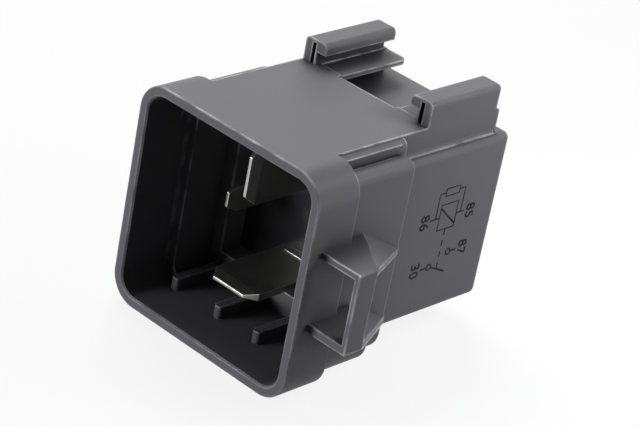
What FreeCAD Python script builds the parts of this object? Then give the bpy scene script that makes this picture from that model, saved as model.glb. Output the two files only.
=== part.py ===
import FreeCAD, Part
import math
import os

# Automotive relay with a plug skirt: moulded housing, sealed base, blade
# terminals, coil, and a hinged armature that closes one contact.
# Millimetres. +X is the side with the connector latch, +Y runs from the open
# plug mouth to the closed back, +Z is the side with the bracket rails.
# The origin is the centre of the skirt's flat underside.

VEC = FreeCAD.Vector

# Skirt, the square collar around the mouth
SKIRT_WIDTH = 25.0
SKIRT_HEIGHT = 24.7
SKIRT_DEPTH = 5.8
SKIRT_CORNER_R = 3.2
RIM_WALL = 1.15
RIM_LEAD_IN = 0.18
RIM_EDGE_R = 0.12
SKIRT_REAR_CHAMFER = 0.2
SKIRT_CAVITY_DEPTH = 6.4
SKIRT_BACK_WALL = 0.9
SKIRT_CAVITY_BACK_R = 4.2

# Neck behind the skirt, inset on its sides
NECK_SIDE_INSET = 0.95
NECK_FLAT_INSET = 0.18
NECK_FLOOR = 0.6
NECK_LOWER_R = 2.4
NECK_DEPTH = 12.5
NECK_WALL = 1.1
NECK_END_WALL = 0.9
NECK_CAVITY_DEPTH = NECK_DEPTH - NECK_END_WALL
STEP_DEPTH = 14.4
STEP_RISE = 0.95
STEP_EDGE_R = 0.4
BAND_HALF = 9.6
BAND_EDGE_R = 0.85
BAND_END_DEPTH = 14.9
NECK_CAVITY_TOP_R = 3.0
PLATE_WIDTH = 17.6
PLATE_WALL = 1.1

# Side pad that carries the latch
PAD_PROUD = 0.12
PAD_BOTTOM = 4.8
PAD_TOP_DROP = 1.4
PAD_TOP_R = 0.9
PAD_THICKNESS = 2.6
PAD_EDGE_R = 0.45
PAD_GROOVE_WIDTH = 0.25
PAD_GROOVE_DEPTH = 0.15

# Can, the closed rear part around the coil
CAN_WIDTH = 19.6
CAN_BOTTOM = 2.95
CAN_TOP = 22.0
CAN_WALL = 1.2
CAN_EDGE_R = 0.8
CAN_REAR_R = 0.8
TOTAL_DEPTH = 31.25
BACK_WALL = 1.3
BASE_ROOM_WALL = 0.8
BASE_SEAT_DEPTH = 17.6

# Crown, the raised part that carries rails and shelves
CROWN_FRONT_DEPTH = 18.9
CROWN_SETBACK = 1.65
CROWN_REAR_DEPTH = TOTAL_DEPTH - CROWN_SETBACK
CROWN_CHEEK = 1.9
CROWN_STEP_R = 0.45
CHEEK_CORNER_R = 0.5
SHELF_REACH = 2.95
SHELF_THICKNESS = 0.5
SHELF_DROP = 0.15
SHELF_START_DEPTH = 19.4
SHELF_SETBACK = 0.2
SHELF_END_DEPTH = CROWN_REAR_DEPTH - SHELF_SETBACK
SHELF_CORNER_R = 0.8

# Bracket rails
RAIL_HEIGHT = 2.58
RAIL_POST = 1.67
RAIL_LIP_REACH = 1.23
RAIL_LIP_GAP = 1.35
RAIL_START_DEPTH = 18.6
RAIL_SETBACK = 0.55
RAIL_END_DEPTH = CROWN_REAR_DEPTH - RAIL_SETBACK
RAIL_EDGE_R = 0.5
RAIL_LIP_R = 0.6
RAIL_OUTER_WALL = 1.0
RAIL_INNER_WALL = 0.22
RAIL_SLOT_ROOF = 0.34
RAIL_SLOT_FLOOR = 0.0
RAIL_SLOT_DEPTH = 7.0

# Latch bridge
LATCH_REACH = 5.0
LATCH_TOP = 17.0
LATCH_HEIGHT = 8.8
LATCH_FRONT_DEPTH = 1.7
STRAP_WIDTH = 2.5
STRAP_THICKNESS = 0.52
UPPER_CHEEK = 0.72
LOWER_CHEEK = 0.95
CHEEK_BEND_DEPTH = 8.3
CHEEK_END_DEPTH = 14.4
CHEEK_DROOP = 3.3
LATCH_EDGE_R = 0.3

# Keying ribs on the cavity floor
RIB_WIDTH = 1.0
RIB_HEIGHT = 1.4
RIB_START_DEPTH = 4.9
RIB_POSITIONS = [-8.6, -2.2, 3.4]

# Base and sealing compound
BASE_THICKNESS = 2.4
SEAL_THICKNESS = 0.8
BASE_FIT_GAP = 0.05

# Blade terminals
LOAD_BLADE_WIDTH = 6.3
COIL_BLADE_WIDTH = 2.8
BLADE_THICKNESS = 0.8
LOAD_TIP_DEPTH = 3.5
COIL_TIP_DEPTH = 7.8
UPPER_BLADE_Z = 18.6
LOWER_BLADE_Z = 6.3
COIL_BLADE_X = 6.0
COIL_BLADE_Z = 12.2
BLADE_TIP_TAPER = 1.0
BLADE_TIP_LENGTH = 1.3
BLADE_TIP_BEVEL = 0.25
COIL_TIP_TAPER = 0.6
BLADE_MARK_DEPTH = 0.08
BLADE_MARK_WIDTH = 0.25
BLADE_MARK_LENGTH = 4.6
BLADE_MARK_AT = 13.6

# Coil and magnetic frame
COIL_Z = 13.1
YOKE_THICKNESS = 1.3
YOKE_WIDTH = 9.6
YOKE_TOP = 20.0
YOKE_FOOT_BOTTOM = 8.6
CORE_R = 1.9
CORE_STUB_R = 1.5
POLE_R = 3.4
POLE_THICKNESS = 0.8
BOBBIN_WALL = 0.7
ARMATURE_ROOM = 3.05
COIL_SPACE = TOTAL_DEPTH - BACK_WALL - ARMATURE_ROOM - BASE_SEAT_DEPTH
BOBBIN_LENGTH = COIL_SPACE - YOKE_THICKNESS - POLE_THICKNESS
FLANGE_THICKNESS = 0.8
FLANGE_HALF_WIDTH = 5.3
FLANGE_HALF_HEIGHT = 5.2
FLANGE_CORNER_R = 1.0
WINDING_R = 4.6
WINDING_GAP = 0.05

# Armature, spring and contacts
ARMATURE_THICKNESS = 1.0
ARMATURE_WIDTH = 8.4
ARMATURE_TOP_DROP = 0.6
ARMATURE_BOTTOM = 7.3
ARMATURE_SEAT_GAP = 0.02
ARMATURE_OPEN_DEG = 3.0
SPRING_THICKNESS = 0.2
SPRING_WIDTH = 5.0
SPRING_BEND_R = 0.45
SPRING_YOKE_LENGTH = 5.4
SPRING_BOTTOM = 4.55
CONTACT_Z = 5.6
CONTACT_R = 1.05
CONTACT_BUTTON = 0.55
CONTACT_RIM = 0.15
CONTACT_CLOSED_GAP = 0.03
CARRIER_WIDTH = 3.2
CARRIER_BOTTOM = 4.35
RIVET_R = 0.5
RIVET_HEAD_R = 0.9
RIVET_HEAD_HEIGHT = 0.28
RIVET_SPREAD = 1.3

# Rest stop behind the armature
STOP_INNER_X = 3.2
STOP_WIDTH = 1.8
STOP_THICKNESS = 0.6
STOP_TOP = 9.0
STOP_REST_GAP = 0.02
STOP_ROOT = 1.0
STOP_ROOT_DEPTH = BASE_SEAT_DEPTH - STOP_ROOT

# Resistor across the coil and its wires
RESISTOR_X = -7.3
RESISTOR_Z = 9.6
RESISTOR_STANDOFF = 3.3
RESISTOR_FRONT_DEPTH = BASE_SEAT_DEPTH + RESISTOR_STANDOFF
RESISTOR_SHARE = 0.778
RESISTOR_LENGTH = BOBBIN_LENGTH * RESISTOR_SHARE
RESISTOR_R = 0.85
RESISTOR_CAP_R = 1.05
RESISTOR_CAP_LENGTH = 1.2
RESISTOR_LEAD_R = 0.25
LEAD_CROSS_SHARE = 0.55
LEAD_CROSS_DEPTH = RESISTOR_FRONT_DEPTH + RESISTOR_LENGTH * LEAD_CROSS_SHARE
LEAD_CROSS_Z = 7.3
LEAD_RETURN_X = 7.3
COIL_WIRE_R = 0.13
COIL_TAIL_WIDTH = 1.6
COIL_TAIL_LENGTH = 2.9
COIL_TAIL_END_DEPTH = BASE_SEAT_DEPTH + COIL_TAIL_LENGTH
COIL_WIRE_SETBACK = 0.4
COIL_WIRE_DEPTH = COIL_TAIL_END_DEPTH - COIL_WIRE_SETBACK

MOUTH_Y = -SKIRT_DEPTH / 2
BOOL_PAD = 1.0


def y_at(depth):
    """Row Y of a depth measured from the mouth plane."""
    return MOUTH_Y + depth


def block(x0, x1, depth0, depth1, z0, z1):
    corner = VEC(x0, y_at(depth0), z0)
    return Part.makeBox(x1 - x0, depth1 - depth0, z1 - z0, corner)


def mirror_x(shape):
    return shape.mirror(VEC(0, 0, 0), VEC(1, 0, 0))


def fuse_all(shapes):
    result = shapes[0]
    for shape in shapes[1:]:
        result = result.fuse(shape)
    return result.removeSplitter()


def rounded_prism(x0, x1, z0, z1, radius, depth0, depth1):
    """Prism along Y with four rounded corners."""
    prism = block(x0, x1, depth0, depth1, z0, z1)
    edges = [edge for edge in prism.Edges if runs_along(edge, VEC(0, 1, 0))]
    return prism.makeFillet(radius, edges)


def prism_with_round_side(x0, x1, z0, z1, round_z, radius, depth0, depth1):
    """Prism along Y whose two corners at one height are rounded."""
    prism = block(x0, x1, depth0, depth1, z0, z1)
    edges = [edge for edge in edges_at(prism, "Z", round_z) if runs_along(edge, VEC(0, 1, 0))]
    return prism.makeFillet(radius, edges)


def runs_along(edge, direction):
    if len(edge.Vertexes) < 2:
        return False
    span = edge.Vertexes[1].Point.sub(edge.Vertexes[0].Point)
    if span.Length < 1e-6:
        return False
    span.normalize()
    return abs(span.dot(direction)) > 0.999


def edges_at(shape, axis_name, value, tolerance=1e-4):
    """Edges whose points all share one coordinate."""
    found = []
    for edge in shape.Edges:
        low = getattr(edge.BoundBox, axis_name + "Min")
        high = getattr(edge.BoundBox, axis_name + "Max")
        if abs(low - value) < tolerance and abs(high - value) < tolerance:
            found.append(edge)
    return found


def extrude_polygon(points, direction):
    return Part.Face(Part.makePolygon(points + [points[0]])).extrude(direction)


def rod(start, end, radius):
    run = end.sub(start)
    return Part.makeCylinder(radius, run.Length, start, run)


def bent_wire(points, radius):
    """Round wire along the points, mitred at the bends."""
    path = Part.makePolygon(points)
    ring = Part.Wire(Part.makeCircle(radius, points[0], points[1].sub(points[0])))
    sweep = Part.BRepOffsetAPI.MakePipeShell(path)
    sweep.setTransitionMode(1)
    sweep.add(ring)
    sweep.build()
    sweep.makeSolid()
    return sweep.shape()


def along_y(x, depth0, depth1, z, radius):
    return rod(VEC(x, y_at(depth0), z), VEC(x, y_at(depth1), z), radius)


# Housing


def skirt_solid():
    half = SKIRT_WIDTH / 2
    solid = rounded_prism(-half, half, 0, SKIRT_HEIGHT, SKIRT_CORNER_R, 0, SKIRT_DEPTH)
    solid = solid.makeFillet(RIM_EDGE_R, edges_at(solid, "Y", y_at(0)))
    return solid.makeChamfer(SKIRT_REAR_CHAMFER, edges_at(solid, "Y", y_at(SKIRT_DEPTH)))


def neck_half():
    return SKIRT_WIDTH / 2 - NECK_SIDE_INSET


def neck_solid():
    top = SKIRT_HEIGHT - NECK_FLAT_INSET
    front = SKIRT_DEPTH / 2
    half = neck_half()
    middle = SKIRT_HEIGHT / 2
    roof = prism_with_round_side(-half, half, middle, top, top, SKIRT_CORNER_R, front, STEP_DEPTH)
    floor = NECK_FLOOR
    lower = prism_with_round_side(-half, half, floor, middle, floor, NECK_LOWER_R, front, NECK_DEPTH)
    floor += STEP_RISE
    step = prism_with_round_side(-half, half, floor, middle, floor, NECK_LOWER_R, front, STEP_DEPTH)
    upper = fuse_all([roof, step])
    upper = upper.makeFillet(STEP_EDGE_R, edges_at(upper, "Y", y_at(STEP_DEPTH)))
    room = block(BAND_HALF, half + BOOL_PAD, front - BOOL_PAD, STEP_DEPTH + BOOL_PAD,
                 SKIRT_HEIGHT - PAD_TOP_DROP - PAD_TOP_R, SKIRT_HEIGHT)
    return fuse_all([upper.cut(room), lower, neck_band()])


def neck_band():
    """Band between the plate's edge and the pad, a little longer than the pad."""
    top = SKIRT_HEIGHT - NECK_FLAT_INSET
    inner = SKIRT_CORNER_R - neck_half()
    low = CAN_TOP - CAN_EDGE_R
    band = block(inner, BAND_HALF, SKIRT_DEPTH / 2, BAND_END_DEPTH, low, top)
    edges = [edge for edge in edges_at(band, "Z", top)
             if runs_along(edge, VEC(0, 1, 0)) and edge.BoundBox.XMin > BAND_HALF - 0.01]
    return band.makeFillet(BAND_EDGE_R, edges)


def pad_solid():
    outer = neck_half() + PAD_PROUD
    inner = outer - PAD_THICKNESS
    top = SKIRT_HEIGHT - PAD_TOP_DROP
    pad = block(inner, outer, SKIRT_DEPTH / 2, STEP_DEPTH, PAD_BOTTOM, top)
    tops = [edge for edge in edges_at(pad, "Z", top) if edge.BoundBox.XMin > outer - 0.01]
    pad = pad.makeFillet(PAD_TOP_R, tops)
    rear = [edge for edge in edges_at(pad, "Y", y_at(STEP_DEPTH))
            if edge.BoundBox.XMax > outer - 0.01 and edge.BoundBox.ZLength > 0.01]
    return pad.makeFillet(PAD_EDGE_R, rear)


def pad_groove():
    """Fine valley between the neck's band and the pad."""
    bottom = SKIRT_HEIGHT - PAD_TOP_DROP - PAD_GROOVE_DEPTH
    return block(BAND_HALF, BAND_HALF + PAD_GROOVE_WIDTH, SKIRT_DEPTH,
                 STEP_DEPTH + BOOL_PAD, bottom, SKIRT_HEIGHT + BOOL_PAD)


def can_solid():
    half = CAN_WIDTH / 2
    can = rounded_prism(-half, half, CAN_BOTTOM, CAN_TOP, CAN_EDGE_R, NECK_DEPTH, TOTAL_DEPTH)
    rear = edges_at(can, "Y", y_at(TOTAL_DEPTH))
    return can.makeFillet(CAN_REAR_R, rear)


def crown_solids():
    """Raised plate, its front block and the two cheeks under the rails."""
    half = PLATE_WIDTH / 2
    top = SKIRT_HEIGHT
    inside = CAN_TOP - CAN_EDGE_R - CAN_WALL
    plate = block(-half, half, RIM_EDGE_R, CROWN_FRONT_DEPTH, top - PLATE_WALL, top)
    front = block(-half, half, NECK_DEPTH, CROWN_FRONT_DEPTH, inside, top)
    solids = [plate, front]
    for side in (-1, 1):
        outer = side * half
        inner = side * (half - CROWN_CHEEK)
        low = min(outer, inner)
        high = max(outer, inner)
        cheek = block(low, high, CROWN_FRONT_DEPTH - BOOL_PAD, CROWN_REAR_DEPTH, inside, top)
        corner = [edge for edge in edges_at(cheek, "Y", y_at(CROWN_REAR_DEPTH))
                  if edge.BoundBox.ZMin > top - 0.01]
        solids.append(cheek.makeFillet(CHEEK_CORNER_R, corner))
    return solids


def crown_foot_rounds():
    """Small rounds where the cheeks step down to the can."""
    solids = []
    half = PLATE_WIDTH / 2
    size = CROWN_STEP_R
    for side in (-1, 1):
        x = side * half
        corner = block(min(x, x + side * size), max(x, x + side * size),
                       STEP_DEPTH, CROWN_REAR_DEPTH - size, CAN_TOP, CAN_TOP + size)
        cutter = along_y(x + side * size, STEP_DEPTH - BOOL_PAD, CROWN_REAR_DEPTH + BOOL_PAD,
                         CAN_TOP + size, size)
        solids.append(corner.cut(cutter))
    return solids


def shelf_solid():
    """Thin shelf along the inside of the +X rail."""
    outer = PLATE_WIDTH / 2 - CROWN_CHEEK
    inner = outer - SHELF_REACH
    top = SKIRT_HEIGHT - SHELF_DROP
    shelf = block(inner, outer + BOOL_PAD / 2, CROWN_FRONT_DEPTH - BOOL_PAD / 2,
                  SHELF_END_DEPTH, top - SHELF_THICKNESS, top)
    corner = []
    for edge in shelf.Edges:
        box = edge.BoundBox
        at_end = box.YMin > y_at(SHELF_END_DEPTH) - 0.01
        if runs_along(edge, VEC(0, 0, 1)) and at_end and box.XMax < inner + 0.01:
            corner.append(edge)
    shelf = shelf.makeFillet(SHELF_CORNER_R, corner)
    sill = block(inner, outer + BOOL_PAD / 2, CROWN_FRONT_DEPTH - BOOL_PAD / 2,
                 SHELF_START_DEPTH, top - SHELF_THICKNESS, SKIRT_HEIGHT)
    return shelf.fuse(sill)


def rail_solid():
    """The +X bracket rail: a cored post with a lip that points inward."""
    outer = PLATE_WIDTH / 2
    inner = outer - RAIL_POST
    base = SKIRT_HEIGHT
    top = base + RAIL_HEIGHT
    post = block(inner, outer, RAIL_START_DEPTH, RAIL_END_DEPTH, base - BOOL_PAD / 2, top)
    tip = inner - RAIL_LIP_REACH
    lip = block(tip, outer, RAIL_START_DEPTH, RAIL_END_DEPTH, base + RAIL_LIP_GAP, top)
    rail = post.fuse(lip).removeSplitter()
    long_edges = [edge for edge in edges_at(rail, "Z", top) if runs_along(edge, VEC(0, 1, 0))]
    outside = [edge for edge in long_edges if edge.BoundBox.XMin > outer - 0.01]
    rail = rail.makeFillet(RAIL_EDGE_R, outside)
    long_edges = [edge for edge in edges_at(rail, "Z", top) if runs_along(edge, VEC(0, 1, 0))]
    inside = [edge for edge in long_edges if edge.BoundBox.XMax < tip + 0.01]
    return rail.makeFillet(RAIL_LIP_R, inside)


def rail_slot():
    outer = PLATE_WIDTH / 2 - RAIL_OUTER_WALL
    inner = PLATE_WIDTH / 2 - RAIL_POST + RAIL_INNER_WALL
    base = SKIRT_HEIGHT + RAIL_SLOT_FLOOR
    top = SKIRT_HEIGHT + RAIL_HEIGHT - RAIL_SLOT_ROOF
    return block(inner, outer, RAIL_START_DEPTH - BOOL_PAD, RAIL_START_DEPTH + RAIL_SLOT_DEPTH,
                 base, top)


def latch_cheek(top, thickness):
    """One cheek of the latch bridge: a flat plate that bends down at the back."""
    root = neck_half() - PAD_THICKNESS / 2
    outer = SKIRT_WIDTH / 2 + LATCH_REACH
    strap_back = LATCH_FRONT_DEPTH + STRAP_WIDTH
    wall = neck_half()
    front = VEC(root, y_at(LATCH_FRONT_DEPTH), top)
    flat = [
        front,
        VEC(outer, y_at(LATCH_FRONT_DEPTH), top),
        VEC(outer, y_at(strap_back), top),
        VEC(wall, y_at(CHEEK_BEND_DEPTH), top),
        VEC(root, y_at(CHEEK_BEND_DEPTH), top),
    ]
    slope = [
        VEC(outer, y_at(strap_back), top),
        VEC(wall, y_at(CHEEK_END_DEPTH), top - CHEEK_DROOP),
        VEC(wall, y_at(CHEEK_BEND_DEPTH), top),
    ]
    down = VEC(0, 0, -thickness)
    flat_part = extrude_polygon(flat, down)
    slope_part = extrude_polygon(slope, down)
    root_slope = [
        VEC(wall, y_at(CHEEK_BEND_DEPTH), top),
        VEC(wall, y_at(CHEEK_END_DEPTH), top - CHEEK_DROOP),
        VEC(wall, y_at(CHEEK_END_DEPTH), top - CHEEK_DROOP - thickness),
        VEC(wall, y_at(CHEEK_BEND_DEPTH), top - thickness),
    ]
    root_part = extrude_polygon(root_slope, VEC(root - wall, 0, 0))
    return fuse_all([flat_part, slope_part, root_part])


def latch_bridge():
    outer = SKIRT_WIDTH / 2 + LATCH_REACH
    bottom = LATCH_TOP - LATCH_HEIGHT
    strap = block(outer - STRAP_THICKNESS, outer, LATCH_FRONT_DEPTH,
                  LATCH_FRONT_DEPTH + STRAP_WIDTH, bottom, LATCH_TOP)
    upper = latch_cheek(LATCH_TOP, UPPER_CHEEK)
    lower = latch_cheek(bottom + LOWER_CHEEK, LOWER_CHEEK)
    bridge = fuse_all([strap, upper, lower])
    edges = [edge for edge in edges_at(bridge, "Z", LATCH_TOP)
             if runs_along(edge, VEC(0, 1, 0)) and edge.BoundBox.XMin > outer - 0.01]
    return bridge.makeFillet(LATCH_EDGE_R, edges)


def cavity_solids():
    """Everything that is hollow behind the mouth."""
    half = SKIRT_WIDTH / 2 - RIM_WALL
    inner_r = SKIRT_CORNER_R - RIM_WALL
    floor = RIM_WALL
    roof = SKIRT_HEIGHT - PLATE_WALL
    mouth = rounded_prism(-half, half, floor, roof, inner_r, -BOOL_PAD,
                          SKIRT_DEPTH - SKIRT_BACK_WALL)
    behind = prism_with_round_side(-half, half, floor, roof, roof, SKIRT_CAVITY_BACK_R, 0,
                                   SKIRT_CAVITY_DEPTH)
    low = [edge for edge in edges_at(behind, "Z", floor) if runs_along(edge, VEC(0, 1, 0))]
    behind = behind.makeFillet(inner_r, low)
    neck = neck_half() - NECK_WALL
    middle = prism_with_round_side(-neck, neck, floor, roof, roof, NECK_CAVITY_TOP_R, 0,
                                   NECK_CAVITY_DEPTH)
    lower = [edge for edge in edges_at(middle, "Z", floor) if runs_along(edge, VEC(0, 1, 0))]
    middle = middle.makeFillet(inner_r, lower)
    room_half = CAN_WIDTH / 2 - BASE_ROOM_WALL
    room_low = CAN_BOTTOM + BASE_ROOM_WALL
    room_high = CAN_TOP - BASE_ROOM_WALL
    room = block(-room_half, room_half, 0, BASE_SEAT_DEPTH, room_low, room_high)
    loft_half = PLATE_WIDTH / 2 - BASE_ROOM_WALL
    loft = block(-loft_half, loft_half, 0, BASE_SEAT_DEPTH, room_low, roof)
    coil_half = CAN_WIDTH / 2 - CAN_WALL
    coil_low = CAN_BOTTOM + CAN_WALL
    coil_high = CAN_TOP - CAN_WALL
    back = TOTAL_DEPTH - BACK_WALL
    coil_room = block(-coil_half, coil_half, 0, back, coil_low, coil_high)
    return [mouth, behind, middle, room, loft, coil_room, lead_in()]


def lead_in():
    """Sloping inner edge of the rim."""
    half = SKIRT_WIDTH / 2 - RIM_WALL
    roof = SKIRT_HEIGHT - PLATE_WALL
    inner_r = SKIRT_CORNER_R - RIM_WALL
    grow = RIM_LEAD_IN
    wide = rounded_prism(-half - grow, half + grow, RIM_WALL - grow, roof + grow,
                         inner_r + grow, -grow, grow)
    return wide.makeChamfer(grow * 0.999, edges_at(wide, "Y", y_at(grow)))


def ribs():
    """Keying ribs that stand on the cavity floor."""
    solids = []
    floor = RIM_WALL - BOOL_PAD / 2
    top = RIM_WALL + RIB_HEIGHT
    for x in RIB_POSITIONS:
        rib = block(x - RIB_WIDTH / 2, x + RIB_WIDTH / 2, RIB_START_DEPTH,
                    NECK_CAVITY_DEPTH + BOOL_PAD / 2, floor, top)
        nose = [edge for edge in edges_at(rib, "Y", y_at(RIB_START_DEPTH))
                if runs_along(edge, VEC(0, 0, 1))]
        rib = rib.makeFillet(RIB_WIDTH * 0.42, nose)
        solids.append(rib)
    return solids


def housing():
    rail = rail_solid()
    shelf = shelf_solid()
    solids = [skirt_solid(), neck_solid(), pad_solid(), can_solid()]
    solids += crown_solids()
    solids += crown_foot_rounds()
    solids += [rail, mirror_x(rail), shelf, mirror_x(shelf), latch_bridge()]
    body = fuse_all(solids)
    slot = rail_slot()
    for cutter in cavity_solids() + [slot, mirror_x(slot), pad_groove()]:
        body = body.cut(cutter)
    return fuse_all([body] + ribs())


# Base


def base_outline(gap, depth0, depth1):
    half = CAN_WIDTH / 2 - BASE_ROOM_WALL - gap
    low = CAN_BOTTOM + BASE_ROOM_WALL + gap
    high = CAN_TOP - BASE_ROOM_WALL - gap
    loft_half = PLATE_WIDTH / 2 - BASE_ROOM_WALL - gap
    roof = SKIRT_HEIGHT - PLATE_WALL - gap
    lower = block(-half, half, depth0, depth1, low, high)
    upper = block(-loft_half, loft_half, depth0, depth1, low, roof)
    return fuse_all([lower, upper])


def base_plate(passing):
    front = BASE_SEAT_DEPTH - BASE_THICKNESS
    plate = base_outline(BASE_FIT_GAP, front, BASE_SEAT_DEPTH)
    for shape in passing:
        plate = plate.cut(shape)
    return plate


def sealing_compound(passing):
    rear = BASE_SEAT_DEPTH - BASE_THICKNESS
    layer = base_outline(0, rear - SEAL_THICKNESS, rear)
    for shape in passing:
        layer = layer.cut(shape)
    return layer


# Terminals


def blade(width, taper, tip_depth, end_depth):
    """Flat blade along Y, width along Z, centred on the Y axis, with a bevelled tip."""
    half = width / 2
    tip = y_at(tip_depth)
    shoulder = y_at(tip_depth + BLADE_TIP_LENGTH)
    end = y_at(end_depth)
    thick = BLADE_THICKNESS / 2
    face = [
        VEC(-thick, tip, taper - half),
        VEC(-thick, shoulder, -half),
        VEC(-thick, end, -half),
        VEC(-thick, end, half),
        VEC(-thick, shoulder, half),
        VEC(-thick, tip, half - taper),
    ]
    body = extrude_polygon(face, VEC(BLADE_THICKNESS, 0, 0))
    bevel = thick - BLADE_TIP_BEVEL
    side = [
        VEC(-bevel, tip, -half),
        VEC(-thick, shoulder, -half),
        VEC(-thick, end, -half),
        VEC(thick, end, -half),
        VEC(thick, shoulder, -half),
        VEC(bevel, tip, -half),
    ]
    return body.common(extrude_polygon(side, VEC(0, 0, width)))


def terminal_30():
    """Upper load blade; its inner tongue ends on the yoke's foot."""
    stop = BASE_SEAT_DEPTH - BASE_FIT_GAP * 4
    plate = blade(LOAD_BLADE_WIDTH, BLADE_TIP_TAPER, LOAD_TIP_DEPTH, stop)
    tongue = block(-BLADE_THICKNESS / 2, BLADE_THICKNESS / 2, stop - BOOL_PAD, BASE_SEAT_DEPTH,
                   -LOAD_BLADE_WIDTH / 4, LOAD_BLADE_WIDTH / 4)
    plate = fuse_all([plate, tongue])
    plate.translate(VEC(0, 0, UPPER_BLADE_Z))
    return plate


def contact_depths():
    """Depths of the closed contact stack, from the armature face forwards."""
    face = pole_depth() + ARMATURE_SEAT_GAP
    spring_front = face + ARMATURE_THICKNESS
    button_front = spring_front - CONTACT_BUTTON
    fixed_front = button_front - CONTACT_CLOSED_GAP
    carrier_rear = fixed_front - CONTACT_BUTTON
    return spring_front, button_front, fixed_front, carrier_rear


def terminal_87():
    """Lower load blade, whose inner end carries the fixed contact."""
    half = BLADE_THICKNESS / 2
    carrier_rear = contact_depths()[3]
    plate = blade(LOAD_BLADE_WIDTH, BLADE_TIP_TAPER, LOAD_TIP_DEPTH, BASE_SEAT_DEPTH)
    plate.rotate(VEC(0, 0, 0), VEC(0, 1, 0), 90)
    arm = block(-CARRIER_WIDTH / 2, CARRIER_WIDTH / 2, BASE_SEAT_DEPTH - BOOL_PAD, carrier_rear,
                -half, half)
    low = CARRIER_BOTTOM - LOWER_BLADE_Z
    flag = block(-CARRIER_WIDTH / 2, CARRIER_WIDTH / 2, carrier_rear - BLADE_THICKNESS,
                 carrier_rear, low, half)
    plate = fuse_all([plate, arm, flag])
    corner = [edge for edge in edges_at(plate, "Y", y_at(carrier_rear))
              if runs_along(edge, VEC(1, 0, 0)) and edge.BoundBox.ZMin > half - 0.01]
    plate = plate.makeFillet(BLADE_THICKNESS * 0.8, corner)
    mark = block(-BLADE_MARK_LENGTH / 2, BLADE_MARK_LENGTH / 2, BLADE_MARK_AT,
                 BLADE_MARK_AT + BLADE_MARK_WIDTH, half - BLADE_MARK_DEPTH, half + BOOL_PAD)
    plate = plate.cut(mark)
    plate.translate(VEC(0, 0, LOWER_BLADE_Z))
    return plate


def coil_terminal(side):
    """Narrow coil blade with a slim tail beside the bobbin."""
    half = BLADE_THICKNESS / 2
    plate = blade(COIL_BLADE_WIDTH, COIL_TIP_TAPER, COIL_TIP_DEPTH, BASE_SEAT_DEPTH)
    tail = block(-half, half, BASE_SEAT_DEPTH - BOOL_PAD, COIL_TAIL_END_DEPTH,
                 -COIL_TAIL_WIDTH / 2, COIL_TAIL_WIDTH / 2)
    plate = fuse_all([plate, tail])
    plate.translate(VEC(side * COIL_BLADE_X, 0, COIL_BLADE_Z))
    return plate


# Coil


def bobbin_front():
    return BASE_SEAT_DEPTH + YOKE_THICKNESS


def pole_depth():
    """Depth of the pole face, level with the yoke's end."""
    return bobbin_front() + BOBBIN_LENGTH + POLE_THICKNESS


def yoke():
    half = YOKE_WIDTH / 2
    foot = block(-half, half, BASE_SEAT_DEPTH, bobbin_front(), YOKE_FOOT_BOTTOM, YOKE_TOP)
    leg = block(-half, half, BASE_SEAT_DEPTH, pole_depth(), YOKE_TOP - YOKE_THICKNESS, YOKE_TOP)
    frame = fuse_all([foot, leg])
    outer = [edge for edge in edges_at(frame, "Z", YOKE_TOP)
             if abs(edge.BoundBox.YMax - y_at(BASE_SEAT_DEPTH)) < 0.01]
    frame = frame.makeFillet(YOKE_THICKNESS * 0.7, outer)
    hole = along_y(0, BASE_SEAT_DEPTH - BOOL_PAD, bobbin_front() + BOOL_PAD, COIL_Z, CORE_STUB_R)
    frame = frame.cut(hole)
    for shank in rivet_shanks():
        frame = frame.cut(shank)
    return frame


def core():
    stub = along_y(0, BASE_SEAT_DEPTH, bobbin_front(), COIL_Z, CORE_STUB_R)
    stem = along_y(0, bobbin_front(), bobbin_front() + BOBBIN_LENGTH, COIL_Z, CORE_R)
    head = along_y(0, bobbin_front() + BOBBIN_LENGTH, pole_depth(), COIL_Z, POLE_R)
    return fuse_all([stub, stem, head])


def flange(depth):
    return rounded_prism(-FLANGE_HALF_WIDTH, FLANGE_HALF_WIDTH, COIL_Z - FLANGE_HALF_HEIGHT,
                         COIL_Z + FLANGE_HALF_HEIGHT, FLANGE_CORNER_R, depth,
                         depth + FLANGE_THICKNESS)


def bobbin():
    front = bobbin_front()
    rear = front + BOBBIN_LENGTH
    barrel = along_y(0, front, rear, COIL_Z, CORE_R + BOBBIN_WALL)
    spool = fuse_all([flange(front), flange(rear - FLANGE_THICKNESS), barrel])
    return spool.cut(along_y(0, front - BOOL_PAD, rear + BOOL_PAD, COIL_Z, CORE_R))


def coil_winding():
    front = bobbin_front() + FLANGE_THICKNESS + WINDING_GAP
    rear = bobbin_front() + BOBBIN_LENGTH - FLANGE_THICKNESS - WINDING_GAP
    solid = along_y(0, front, rear, COIL_Z, WINDING_R)
    hollow = along_y(0, front - BOOL_PAD, rear + BOOL_PAD, COIL_Z, CORE_R + BOBBIN_WALL)
    return solid.cut(hollow)


def coil_lead_wires():
    """Two enamelled wire ends from the winding to the coil blades."""
    wires = []
    z = COIL_BLADE_Z
    surface = math.sqrt(WINDING_R ** 2 - (COIL_Z - z) ** 2)
    blade_face = COIL_BLADE_X - BLADE_THICKNESS / 2
    for side in (-1, 1):
        start = VEC(side * (surface - COIL_WIRE_R), y_at(COIL_WIRE_DEPTH), z)
        end = VEC(side * blade_face, y_at(COIL_WIRE_DEPTH), z)
        wires.append(rod(start, end, COIL_WIRE_R).cut(coil_winding()))
    return Part.makeCompound(wires)


# Armature group, built closed and then swung open


def hinge_point():
    return VEC(0, y_at(pole_depth() + ARMATURE_SEAT_GAP), YOKE_TOP - ARMATURE_TOP_DROP)


def swing_open(shape):
    """Turns a piece from the closed position to the rest position."""
    swung = shape.copy()
    swung.rotate(hinge_point(), VEC(1, 0, 0), ARMATURE_OPEN_DEG)
    return swung


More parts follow.
